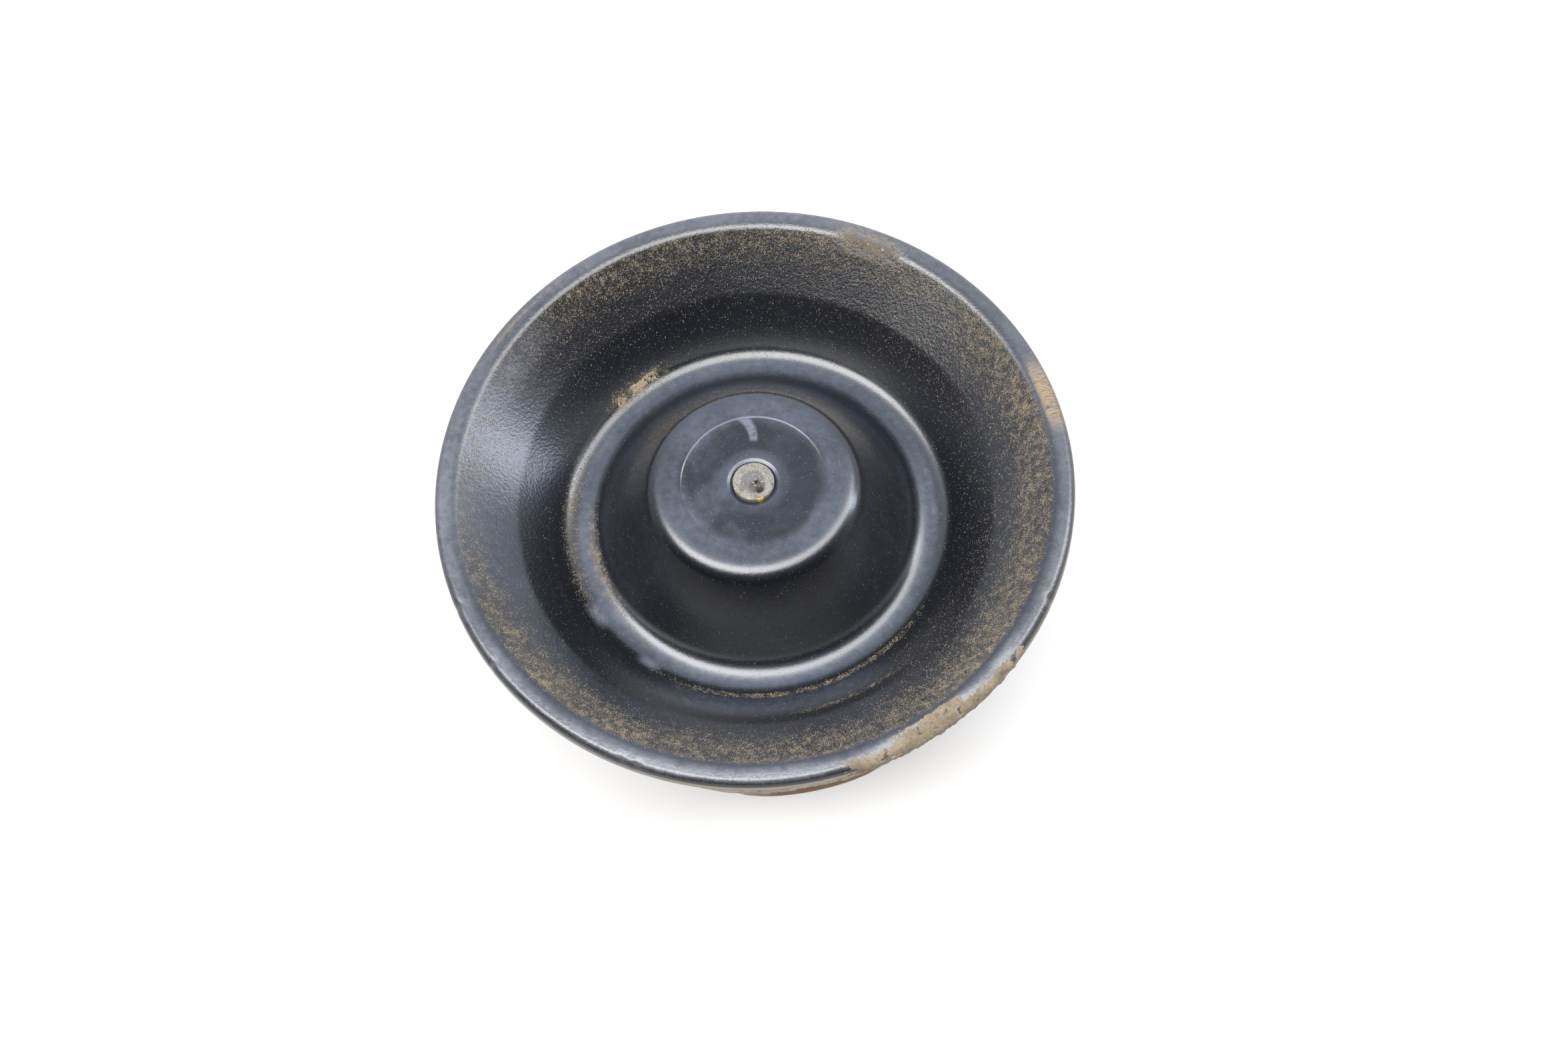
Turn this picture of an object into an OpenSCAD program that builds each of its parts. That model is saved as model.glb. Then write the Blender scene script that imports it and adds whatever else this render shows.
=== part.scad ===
// Electric disc horn of a road vehicle. An electromagnet pulls an armature that carries a
// springy diaphragm and a pressed tone disc, and a contact breaker switches the coil off and on.
//
// The origin is the centre of the bracket's fixing hole, on the face that is bolted down. +Z is the
// way the tone disc faces, and +Y is the way the bracket points. Heights inside the horn are counted
// from the front face of the housing's flange, on the horn's own axis. All sizes are in millimetres.

/* [Tone disc] */
// Outer radius of the tone disc
disc_r = 46; // [45:0.5:48]
// Height of the rim's crest above the housing flange
rim_h = 19.7; // [19:0.1:22]
// Radius where the flank and the rim's flat land would meet without their bend
rim_fold_r = 43.3; // [43:0.1:43.6]
// Outside radius of that bend, which makes the rim's crest
rim_round = 2.6; // [2:0.1:3]
// Outward slope of the rim's land, in degrees
land_tilt = 10; // [6:1:14]
// Rounding between the land and the lip
edge_round = 1.3; // [1.3:0.1:1.6]
// Depth of the rim's lip below its crest
lip_depth = 2.3; // [2.2:0.1:3]
// Slope of the flank below the rim, in degrees
flank_tilt = 36; // [34:1:38]
// Radius of the soft crease across the flank
crease_r = 34.6; // [34:0.1:36]
// Radius where the groove's two flanks would meet without their bend
groove_fold_r = 25.2; // [25:0.1:26]
// Depth of that meeting point below the rim's crest
groove_fold_depth = 14.6; // [14:0.1:14.8]
// Bend radius at the bottom of the groove
groove_round = 4.2; // [4:0.1:5]
// Radius of the hub's edge before it is rounded
hub_r = 14.5; // [14.2:0.1:15]
// Height of the hub's face above the rim's crest
hub_rise = 0.4; // [0:0.1:1]
// Rounding of the hub's edge
hub_round = 4; // [3:0.1:4]
// Radius of the coined circle on the hub's face
witness_r = 10.5; // [9:0.1:11.5]
// Thickness of the tone disc's sheet
disc_t = 1.2; // [1:0.1:1.3]

/* [Armature] */
// Radius of the stud's visible end
stud_r = 3.05; // [2.5:0.05:3.5]
// Radius of the dimple round the stud
dimple_r = 4.6; // [4:0.1:5.5]
// Travel from rest until the armature would meet the core, less a film of air
air_gap = 1; // [0.9:0.05:1.1]
// Radius of the armature's pole end
armature_r = 11.3; // [10.5:0.1:11.4]
// Radius of the collar that works the contact breaker
collar_r = 15.5; // [15:0.1:16]

/* [Housing] */
// Outer radius of the clamp ring
ring_r = 39.6; // [39:0.1:41]
// Outer radius of the housing's wide front part
wall_r = 34; // [33.8:0.1:34.2]
// Outer radius of the coil cup
cup_r = 24; // [23.8:0.1:24]
// Depth of the wide part below the flange face
wall_depth = 10.2; // [10.2:0.1:10.4]
// Depth of the coil cup below the flange face
cup_depth = 27; // [26.8:0.1:28]
// Thickness of the housing's sheet
shell_t = 1.2; // [1.1:0.1:1.2]

/* [Bracket] */
// Distance from the fixing hole to the horn's axis
bracket_reach = 50; // [48:1:60]
// Thickness of the bracket
bracket_t = 2.5; // [2:0.5:2.5]
// Width of the bracket
bracket_w = 24; // [22:1:28]
// How far the bracket steps forward behind the horn
bracket_step = 10; // [10:0.5:14]
// Radius of the fixing hole, for an M8 bolt
fixing_r = 4.25; // [4.2:0.05:4.5]
// Radius of the stud that holds the bracket
mount_stud_r = 4; // [4:0.1:4]

/* [Connector] */
// Direction of the connector from the horn's axis, in degrees
connector_angle = 0; // [-5:1:5]
// Width of each blade terminal
blade_w = 6.3; // [6.3:0.1:6.3]
// Thickness of each blade terminal
blade_t = 0.8; // [0.8:0.1:0.8]
// Distance between the middles of the two blades
blade_pitch = 9.2; // [9.2:0.1:9.6]

/* [Contact breaker] */
// Direction of the contact breaker from the horn's axis, in degrees
breaker_angle = 150; // [140:1:160]
// Distance of the blade's bending line from the horn's axis
breaker_hinge_u = 28.5; // [28.5:0.1:28.6]
// Distance of the contacts from the horn's axis
contact_u = 20.4; // [20:0.1:21]

/* [Hidden] */
$fn = 96;

gap = 0.05;              // clearance between a shaft and its hole
cut = 1;                 // how far a cutting shape runs past what it cuts
step_angle = 5;          // one facet of a bend, in degrees

flange_z = bracket_step + bracket_t + cup_depth;
inner_wall_r = wall_r - shell_t;
inner_cup_r = cup_r - shell_t;
shelf_top = -wall_depth + shell_t;
shelf_bend = 2;          // bend radius where the sheet turns outwards
wall_bend = 1;           // inside bend radius at the foot of the wide part
cup_floor = -cup_depth + shell_t;

gasket_t = 0.4;
diaphragm_t = 0.4;
clamped_r = ring_r - 1.3;
ring_t = 0.8;
stack_top = 2 * gasket_t + diaphragm_t;

plate_t = 2.5;
plate_top = shelf_top + plate_t;
plate_r = inner_wall_r - wall_bend;
core_r = 9;
core_top = shelf_top;
armature_bottom = core_top + air_gap;
collar_bottom = armature_bottom + 4;
collar_t = 3;
armature_neck_r = 10;
crown_h = 4.4;           // height of the diaphragm's raised middle
washer_t = 0.5;
washer_r = 9.5;
armature_top = crown_h - washer_t;
front_washer_t = 1;
spacer_r = 7;
stud_core_r = 4;
hub_h = rim_h + hub_rise;
dimple_depth = 0.6;
stud_top = hub_h + 0.1;

bobbin_t = 1;
bobbin_r = inner_cup_r - 1.2;
bobbin_bottom = cup_floor + 0.2;
bobbin_top = shelf_top - 0.2;
tube_r = core_r + 0.1;
wire_r = 0.4;

insulator_t = 1.2;
contact_blade_t = 0.5;
blade_room = 0.15;       // air above and below the blade's root, which lets it tilt
blade_bottom = plate_top + insulator_t + blade_room;
blade_top = blade_bottom + contact_blade_t;
upper_insulator_z = blade_top + blade_room;
carrier_z = upper_insulator_z + insulator_t;
carrier_t = 0.8;
contact_face = (blade_top + carrier_z) / 2;
contact_r = 1.6;
breaker_root_u = [26, 30.6];
breaker_rivet_w = 2.4;
button_u = 14.2;
button_play = 0.1;       // air between the button and the collar, which leaves room for the button to tilt
adjuster_at = [26.5, 8];
adjuster_r = 2;
adjuster_seal_t = 1.4;

socket_u = 30.8;         // distance of the blades from the horn's axis
socket_wall = 1.4;
socket_in = [9.4, 17.2];
socket_depth = 13.2;
connector_seal_t = 0.6;
connector_base_t = 2;
socket_top = -wall_depth - connector_seal_t - connector_base_t;
socket_bottom = socket_top - socket_depth;
lug_u = 26.5;
lug_w = 13;

// ---------------------------------------------------------------- helpers

// Direction of travel from a to b, in degrees, and the unit vector to its left
function heading(a, b) = atan2(b[1] - a[1], b[0] - a[0]);
function left(h) = [-sin(h), cos(h)];
function turn(a, b, c) = let (d = heading(b, c) - heading(a, b)) d > 180 ? d - 360 : d < -180 ? d + 360 : d;
function reversed(list) = [for (i = [len(list) - 1:-1:0]) list[i]];

// The bend of radius r at corner b between a and c, moved sideways to the left by o
function bend(a, b, c, r, o) =
    let (h = heading(a, b), d = turn(a, b, c), s = sign(d))
    let (start = b - r * tan(abs(d) / 2) * [cos(h), sin(h)], centre = start + s * r * left(h))
    let (steps = max(2, ceil(abs(d) / step_angle)))
    [for (k = [0:steps]) centre - (s * r - o) * left(h + d * k / steps)];

// A folded line through corners p with bend radii r, moved sideways to the left by o
function folded(p, r, o) =
    let (n = len(p))
    concat(
        [p[0] + o * left(heading(p[0], p[1]))],
        [for (i = [1:n - 2]) each bend(p[i - 1], p[i], p[i + 1], r[i - 1], o)],
        [p[n - 1] + o * left(heading(p[n - 2], p[n - 1]))]
    );

// Outline of a folded sheet of thickness t that lies to the right of the folded line
function sheet(p, r, t) = concat(folded(p, r, 0), reversed(folded(p, r, -t)));

module ring(r_in, r_out, z0, z1) {
    rotate_extrude() translate([r_in, z0]) square([r_out - r_in, z1 - z0]);
}

module rod(r, z0, z1) {
    translate([0, 0, z0]) cylinder(r = r, h = z1 - z0);
}

module block(u, w, z) {
    translate([u[0], w[0], z[0]]) cube([u[1] - u[0], w[1] - w[0], z[1] - z[0]]);
}

// Unit vector from a to b
function unit(a, b) = (b - a) / norm(b - a);

// A wire of radius r through a list of points, with one ring of sides at each point
module wire(points, r) {
    sides = 8;
    reference = [0.5, 0.2, 0.84];
    last = len(points) - 1;
    rings = [for (i = [0:last])
        let (along = unit(points[max(i - 1, 0)], points[min(i + 1, last)]))
        let (across = cross(along, reference) / norm(cross(along, reference)), third = cross(along, across))
        each [for (k = [0:sides - 1]) points[i] + r * (cos(360 * k / sides) * across + sin(360 * k / sides) * third)]];
    walls = [for (i = [0:last - 1], k = [0:sides - 1])
        let (a = i * sides + k, b = i * sides + (k + 1) % sides)
        each [[a, a + sides, b], [b, a + sides, b + sides]]];
    ends = [[for (k = [0:sides - 1]) k], [for (k = [sides - 1:-1:0]) last * sides + k]];
    polyhedron(rings, concat(walls, ends));
}

function polar(r, angle, z) = [r * cos(angle), r * sin(angle), z];

// Places that the parts are drawn in
module at_horn() { translate([0, -bracket_reach, flange_z]) children(); }
module at_breaker() { at_horn() rotate([0, 0, breaker_angle]) children(); }
module at_connector() { at_horn() rotate([0, 0, connector_angle]) children(); }

// ---------------------------------------------------------------- bracket and its fastening

module bracket_plan() {
    circle(r = bracket_w / 2);
    translate([0, -bracket_reach / 2]) square([bracket_w, bracket_reach], center = true);
    translate([0, -bracket_reach]) circle(r = bracket_w / 2 + 2);
}

module mounting_bracket() {
    back = -bracket_reach - bracket_w;
    top = bracket_step + bracket_t;
    corners = [[back, top], [-bracket_reach + cup_r + 1, top], [-bracket_reach / 4, bracket_t], [bracket_w, bracket_t]];
    color("dimgray") difference() {
        intersection() {
            rotate([90, 0, 90]) translate([0, 0, -bracket_w])
                linear_extrude(2 * bracket_w) polygon(sheet(corners, [5, 3], bracket_t));
            translate([0, 0, -cut]) linear_extrude(top + 2 * cut) bracket_plan();
        }
        rod(fixing_r, -cut, top);
        translate([0, -bracket_reach, 0]) rod(mount_stud_r + gap, bracket_step - cut, top + cut);
    }
}

module bracket_stud() {
    end = -cup_depth - bracket_t - 9;
    tip = 0.8;
    color("silver") at_horn() {
        rod(mount_stud_r, end + tip, cup_floor + 6);
        translate([0, 0, end]) cylinder(r1 = mount_stud_r - tip, r2 = mount_stud_r, h = tip);
    }
}

module lock_washer() {
    top = -cup_depth - bracket_t;
    color("silver") at_horn() difference() {
        ring(mount_stud_r + 0.2, mount_stud_r + 3.2, top - 1.6, top);
        translate([0, -0.4, top - 2]) cube([10, 0.8, 3]);
    }
}

module bracket_nut() {
    top = -cup_depth - bracket_t - 1.6;
    height = 6;
    across_flats = 13;
    corner_r = across_flats / 2 / cos(30);
    chamfer = 1;
    color("silver") at_horn() difference() {
        intersection() {
            translate([0, 0, top - height]) cylinder(r = corner_r, h = height, $fn = 6);
            translate([0, 0, top - height]) cylinder(r1 = corner_r - chamfer, r2 = corner_r + height - chamfer, h = height);
        }
        rod(mount_stud_r + gap, top - height - cut, top + cut);
    }
}

// ---------------------------------------------------------------- housing, gaskets and diaphragm

module housing_shell() {
    corners = [
        [mount_stud_r + gap, cup_floor], [inner_cup_r, cup_floor], [inner_cup_r, shelf_top],
        [inner_wall_r, shelf_top], [inner_wall_r, 0], [clamped_r, 0]
    ];
    color("dimgray") difference() {
        at_horn() rotate_extrude() polygon(sheet(corners, [2, shelf_bend, wall_bend, shelf_bend], shell_t));
        at_breaker() translate([adjuster_at[0], adjuster_at[1], 0]) rod(adjuster_r + gap, -wall_depth - cut, shelf_top + cut);
        at_connector() for (side = [-1, 1])
            translate([socket_u, side * blade_pitch / 2, -wall_depth]) cube([2.6, 5.4, 4], center = true);
        at_connector() for (side = [-1, 1])
            translate([lug_u, side * lug_w, 0]) rod(1.25, -wall_depth - cut, shelf_top + cut);
    }
}

module clamp_ring() {
    bottom = -shell_t - ring_t;
    top = stack_top + ring_t;
    corners = [[wall_r - 0.4, top], [ring_r, top], [ring_r, bottom], [ring_r - 3.4, bottom]];
    color("tan") at_horn() rotate_extrude() polygon(sheet(corners, [1.2, 1.2], ring_t));
}

module rear_gasket() {
    color("darkolivegreen") at_horn() ring(inner_wall_r + shelf_bend, clamped_r, 0, gasket_t);
}

module front_gasket() {
    bottom = gasket_t + diaphragm_t;
    color("darkolivegreen") at_horn() ring(inner_wall_r + shelf_bend, clamped_r, bottom, bottom + gasket_t);
}

module diaphragm() {
    top = gasket_t + diaphragm_t;
    crown = crown_h + diaphragm_t;
    corners = [[stud_r + gap, crown], [13, crown], [29, top], [clamped_r, top]];
    color("lightsteelblue") at_horn() rotate_extrude() polygon(sheet(corners, [6, 6], diaphragm_t));
}

// ---------------------------------------------------------------- electromagnet

module pole_core() {
    color("slategray") at_horn() difference() {
        rod(core_r, cup_floor, core_top);
        rod(mount_stud_r + gap, cup_floor - cut, cup_floor + 6 + cut);
    }
}

module coil_bobbin() {
    flange_w = bobbin_r - tube_r;
    color("wheat") at_horn() difference() {
        rotate_extrude() {
            translate([tube_r, bobbin_bottom]) square([bobbin_t, bobbin_top - bobbin_bottom]);
            translate([tube_r, bobbin_bottom]) square([flange_w, bobbin_t]);
            translate([tube_r, bobbin_top - bobbin_t]) square([flange_w, bobbin_t]);
        }
        for (angle = lead_angles) rotate([0, 0, angle])
            translate([lead_r - 1, -1, bobbin_top - bobbin_t - cut / 2]) cube([bobbin_r, 2, bobbin_t + cut]);
    }
}

module coil_winding() {
    color("chocolate") at_horn()
        ring(tube_r + bobbin_t, bobbin_r - 1.2, bobbin_bottom + bobbin_t, bobbin_top - bobbin_t);
}

lead_r = 19;
lead_angles = [connector_angle - 22, breaker_angle - 20];
supply_angle = connector_angle - atan(blade_pitch / 2 / socket_u);
return_angle = connector_angle + atan(blade_pitch / 2 / socket_u);
tab_r = norm([socket_u, blade_pitch / 2]);
lead_z = plate_top + 1.2;

// The two ends of the winding, to the supply terminal and to the breaker's blade
module coil_leads() {
    start_z = bobbin_top - bobbin_t;
    root = breaker_root_u[1];
    color("sienna") at_horn() {
        wire([
            polar(lead_r, lead_angles[0], start_z), polar(lead_r, lead_angles[0], lead_z),
            polar(24, lead_angles[0], lead_z), polar(tab_r - 2.2, supply_angle, lead_z),
            polar(tab_r - 0.6, supply_angle, lead_z)
        ], wire_r);
        wire([
            polar(lead_r, lead_angles[1], start_z), polar(lead_r, lead_angles[1], lead_z),
            polar(27, lead_angles[1], lead_z), polar(root + 0.6, breaker_angle - 14, lead_z),
            polar(root + 0.9, breaker_angle - 7, blade_bottom + 0.2)
        ], wire_r);
    }
}

module pole_plate() {
    color("gray") difference() {
        at_horn() ring(armature_r + 0.3, plate_r, shelf_top, plate_top);
        at_breaker() translate([adjuster_at[0], adjuster_at[1], 0]) rod(adjuster_r + gap, shelf_top - cut, plate_top + cut);
        at_breaker() for (side = [-1, 1])
            translate([breaker_hinge_u, side * breaker_rivet_w, 0]) rod(1.05, shelf_top - cut, plate_top + cut);
        at_connector() block([26, 40], [-blade_pitch, blade_pitch], [shelf_top - cut, plate_top + cut]);
        at_connector() for (side = [-1, 1])
            translate([lug_u, side * lug_w, 0]) rod(1.25, shelf_top - cut, plate_top + cut);
        at_horn() for (angle = lead_angles) rotate([0, 0, angle])
            translate([lead_r, 0, 0]) rod(1, shelf_top - cut, plate_top + cut);
        at_horn() for (angle = plate_rivet_angles) rotate([0, 0, angle])
            translate([plate_rivet_r, 0, 0]) rod(1.65, shelf_top - cut, plate_top + cut);
    }
}

plate_rivet_angles = [90, 215, 305];
plate_rivet_r = 28;

// Rivets that hold the pole plate down on the housing's shelf
module plate_rivets() {
    color("silver") at_horn() for (angle = plate_rivet_angles) rotate([0, 0, angle]) translate([plate_rivet_r, 0, 0]) {
        rod(1.6, shelf_top, plate_top);
        translate([0, 0, plate_top]) cylinder(r1 = 3, r2 = 2, h = 1.2);
    }
}

// ---------------------------------------------------------------- contact breaker

module rivet_holes(r) {
    for (side = [-1, 1])
        translate([breaker_hinge_u, side * breaker_rivet_w, 0]) rod(r, plate_top - cut, carrier_z + carrier_t + cut);
}

module insulator(z) {
    at_breaker() difference() {
        block(breaker_root_u, [-4.5, 4.5], [z, z + insulator_t]);
        rivet_holes(1.05);
    }
}

module lower_insulator() { color("saddlebrown") insulator(plate_top); }
module upper_insulator() { color("saddlebrown") insulator(upper_insulator_z); }

module contact_carrier() {
    z = [carrier_z, carrier_z + carrier_t];
    color("goldenrod") at_breaker() difference() {
        union() {
            block(breaker_root_u, [-4.5, adjuster_at[1] + 2.5], z);
            block([contact_u - 2.4, breaker_root_u[0] + 1], [-2.4, 2.4], z);
        }
        rivet_holes(1.05);
    }
}

module fixed_contact() {
    color("lightgray") at_breaker() translate([contact_u, 0, 0]) rod(contact_r, contact_face, carrier_z);
}

module breaker_rivets() {
    top = carrier_z + carrier_t;
    color("silver") at_breaker() for (side = [-1, 1]) translate([breaker_hinge_u, side * breaker_rivet_w, 0]) {
        rod(1, shelf_top, top);
        translate([0, 0, top]) cylinder(r1 = 1.9, r2 = 1.3, h = 0.8);
    }
}

// Wire from the contact carrier to the return terminal, laid round the edge of the pole plate
module contact_lead() {
    first = breaker_angle - 12;
    last = return_angle + 8;
    turns = 7;
    lay_r = 29.5;
    color("firebrick") at_horn() wire(concat(
        [polar(breaker_hinge_u + 1, breaker_angle - 9.6, carrier_z + carrier_t / 2)],
        [for (i = [0:turns]) polar(lay_r, first + (last - first) * i / turns, lead_z + 1.4)],
        [polar(tab_r - 0.6, return_angle, lead_z + 0.6)]
    ), wire_r);
}

resistor_angle = 250;
resistor_u = 23.5;
resistor_r = 2;
resistor_half = 6;

module arc_resistor() {
    z = plate_top + resistor_r;
    color("peru") at_horn() rotate([0, 0, resistor_angle]) translate([resistor_u, 0, z]) rotate([90, 0, 0]) {
        rod(resistor_r, -resistor_half + 1, resistor_half - 1);
        rod(resistor_r - 0.4, -resistor_half, resistor_half);
    }
}

// Wires from the resistor to both sides of the breaker
module resistor_leads() {
    z = plate_top + resistor_r;
    spread = atan((resistor_half + wire_r) / resistor_u);
    end_r = norm([resistor_u, resistor_half + wire_r]);
    color("silver") at_horn() {
        wire([
            polar(end_r, resistor_angle - spread, z), polar(26, resistor_angle - spread - 8, z),
            polar(24, 200, z), polar(22.5, 180, z), polar(25.9, breaker_angle + 12.5, carrier_z + carrier_t / 2)
        ], wire_r / 2);
        wire([
            polar(end_r, resistor_angle + spread, z), polar(31, resistor_angle + spread + 6, z),
            polar(31.4, resistor_angle, z + 1), polar(31.4, 232, z + 1), polar(31.6, 215, z + 1),
            polar(31.6, 195, z), polar(31.8, 175, z), polar(31.3, breaker_angle + 8.4, blade_bottom + 0.25)
        ], wire_r / 2);
    }
}

// The springy blade, which bends at its riveted root and is drawn straight
module contact_blade() {
    z = [blade_bottom, blade_top];
    color("gold") at_breaker() difference() {
        union() {
            block(breaker_root_u, [-4, 4], z);
            block([button_u, breaker_root_u[0] + 1], [-1.8, 1.8], z);
            translate([button_u, 0, 0]) rod(1.8, blade_bottom, blade_top);
        }
        rivet_holes(1.4);
    }
}

module moving_contact() {
    color("lightgray") at_breaker() translate([contact_u, 0, 0]) rod(contact_r, blade_top, contact_face);
}

// Insulating button that the armature's collar pushes
module push_button() {
    color("ivory") at_breaker() translate([button_u, 0, 0]) rod(1, blade_top, collar_bottom - button_play);
}

// ---------------------------------------------------------------- adjusting screw

adjuster_head = -wall_depth - adjuster_seal_t;

module adjusting_screw() {
    head_t = 3.6;
    color("silver") at_breaker() translate([adjuster_at[0], adjuster_at[1], 0]) difference() {
        union() {
            rod(adjuster_r, adjuster_head, carrier_z - gap);
            rod(3.4, adjuster_head - head_t, adjuster_head);
        }
        translate([-5, -0.5, adjuster_head - head_t - cut]) cube([10, 1, 1.4 + cut]);
    }
}

module adjuster_seal() {
    color("black") at_breaker() translate([adjuster_at[0], adjuster_at[1], -wall_depth - adjuster_seal_t / 2])
        rotate_extrude() translate([adjuster_r + gap + adjuster_seal_t / 2, 0]) circle(r = adjuster_seal_t / 2, $fn = 32);
}

// ---------------------------------------------------------------- connector

module connector_plan(grow) {
    square([socket_in[0] + 2 * grow, socket_in[1] + 2 * grow], center = true);
}

module lugs(r) {
    for (side = [-1, 1]) translate([lug_u, side * lug_w]) circle(r = r);
}

module connector_base(z0, z1, grow) {
    translate([0, 0, z0]) linear_extrude(z1 - z0) difference() {
        union() {
            translate([socket_u, 0]) connector_plan(grow);
            for (side = [-1, 1]) translate([lug_u, side * (lug_w - 2.5)]) square([6.4, 5], center = true);
            lugs(3);
        }
        lugs(1.25);
    }
}

module connector_housing() {
    slot = [blade_t + 0.1, blade_w + 0.1];
    base_top = -wall_depth - connector_seal_t;
    latch_u = socket_u + socket_in[0] / 2 + socket_wall;
    color([0.12, 0.12, 0.13]) at_connector() difference() {
        union() {
            connector_base(socket_top, base_top, socket_wall);
            translate([socket_u, 0, socket_bottom]) linear_extrude(socket_depth) difference() {
                connector_plan(socket_wall);
                connector_plan(0);
            }
            block([latch_u - 0.2, latch_u + 1.6], [-2.5, 2.5], [socket_bottom + 3, socket_bottom + 5]);
            for (side = [-1, 1]) translate([socket_u, side * blade_pitch / 2, (base_top + shelf_top + 0.8) / 2])
                cube([2.4, 5.2, shelf_top + 0.8 - base_top], center = true);
        }
        for (side = [-1, 1]) translate([socket_u, side * blade_pitch / 2, 0]) {
            translate([0, 0, socket_top]) cube([slot[0], slot[1], 2 * connector_base_t - 0.4], center = true);
            translate([0, 0, base_top]) cube([slot[0], 4.1, 12], center = true);
        }
    }
}

module connector_seal() {
    base_top = -wall_depth - connector_seal_t;
    color("darkred") at_connector() difference() {
        connector_base(base_top, -wall_depth, socket_wall - 0.3);
        for (side = [-1, 1]) translate([socket_u, side * blade_pitch / 2, base_top]) cube([2.6, 5.4, 4], center = true);
    }
}

module connector_rivets() {
    base = socket_top;
    color("silver") at_connector() for (side = [-1, 1]) translate([lug_u, side * lug_w, 0]) {
        rod(1.2, base, plate_top);
        translate([0, 0, base - 0.9]) cylinder(r1 = 1.6, r2 = 2.4, h = 0.9);
        translate([0, 0, plate_top]) cylinder(r1 = 2.2, r2 = 1.5, h = 0.8);
    }
}

module terminal(side) {
    tip = socket_bottom + 2.5;
    shoulder = socket_top + connector_base_t - 0.2;
    point = 1.6;
    color("khaki") at_connector() translate([socket_u, side * blade_pitch / 2, 0]) {
        translate([-blade_t / 2, 0, 0]) rotate([90, 0, 90]) linear_extrude(blade_t) polygon([
            [-blade_w / 2 + point, tip], [blade_w / 2 - point, tip], [blade_w / 2, tip + point],
            [blade_w / 2, shoulder], [2, shoulder], [2, lead_z + 2], [-2, lead_z + 2], [-2, shoulder],
            [-blade_w / 2, shoulder], [-blade_w / 2, tip + point]
        ]);
    }
}

module terminal_supply() { terminal(-1); }
module terminal_return() { terminal(1); }

// ---------------------------------------------------------------- armature and tone disc

module armature() {
    color("slategray") at_horn() difference() {
        union() {
            rod(armature_r, armature_bottom, collar_bottom);
            rod(collar_r, collar_bottom, collar_bottom + collar_t);
            rod(armature_neck_r, collar_bottom + collar_t, armature_top);
        }
        rod(stud_core_r + gap, armature_bottom + 1.5, armature_top + cut);
    }
}

module armature_stud() {
    punch_r = 0.8;
    color("silver") at_horn() difference() {
        union() {
            rod(stud_core_r, armature_bottom + 1.5, armature_top);
            rod(stud_r, armature_top, stud_top - 0.2);
            translate([0, 0, stud_top - 0.2]) cylinder(r1 = stud_r, r2 = stud_r - 0.2, h = 0.2);
        }
        translate([0.5, -0.6, stud_top - 1]) cylinder(r1 = punch_r / 2, r2 = punch_r, h = 1 + gap);
    }
}

module rear_washer() {
    color("silver") at_horn() ring(stud_r + gap, washer_r, armature_top, crown_h);
}

module front_washer() {
    bottom = crown_h + diaphragm_t;
    color("silver") at_horn() ring(stud_r + gap, washer_r, bottom, bottom + front_washer_t);
}

module spacer_sleeve() {
    color("darkgray") at_horn() ring(stud_r + gap, spacer_r, crown_h + diaphragm_t + front_washer_t, hub_h - disc_t);
}

module tone_disc() {
    rim_fold_h = rim_h + rim_round * (cos((flank_tilt - land_tilt) / 2) / cos((flank_tilt + land_tilt) / 2) - 1);
    crease_h = rim_fold_h - (rim_fold_r - crease_r) * tan(flank_tilt);
    edge_h = rim_fold_h - (disc_r - rim_fold_r) * tan(land_tilt);
    corners = [
        [stud_r + gap, hub_h], [hub_r, hub_h], [groove_fold_r, rim_h - groove_fold_depth],
        [crease_r, crease_h], [rim_fold_r, rim_fold_h], [disc_r, edge_h], [disc_r, rim_h - lip_depth]
    ];
    bends = [hub_round, groove_round, 8, rim_round, edge_round];
    coined = 0.08;
    color([0.09, 0.1, 0.12]) at_horn() difference() {
        rotate_extrude($fn = 180) polygon(sheet(corners, bends, disc_t));
        translate([0, 0, hub_h - coined]) cylinder(r = witness_r, h = cut);
        translate([0, 0, hub_h - dimple_depth]) cylinder(r1 = stud_r + gap, r2 = dimple_r, h = dimple_depth + 0.001);
    }
}

// ---------------------------------------------------------------- the horn

mounting_bracket();
bracket_stud();
lock_washer();
bracket_nut();
housing_shell();
clamp_ring();
rear_gasket();
diaphragm();
front_gasket();
pole_core();
coil_bobbin();
coil_winding();
coil_leads();
pole_plate();
plate_rivets();
lower_insulator();
upper_insulator();
contact_carrier();
fixed_contact();
breaker_rivets();
contact_lead();
arc_resistor();
resistor_leads();
adjuster_seal();
connector_housing();
connector_seal();
connector_rivets();
terminal_supply();
terminal_return();
contact_blade();
moving_contact();
push_button();
adjusting_screw();
armature();
armature_stud();
rear_washer();
front_washer();
spacer_sleeve();
tone_disc();
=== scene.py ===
"""Looks of a used electric disc horn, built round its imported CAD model. All lengths are in metres.

Places on the horn are given in polar form about its axis: r from the axis, and an angle in degrees
that is 0 to the right (+X), 90 towards the camera (-Y), 180 to the left and 270 away from it (+Y).
"""

import math

import bmesh
import bpy
import numpy as np
from mathutils import Matrix, Vector, noise


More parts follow.
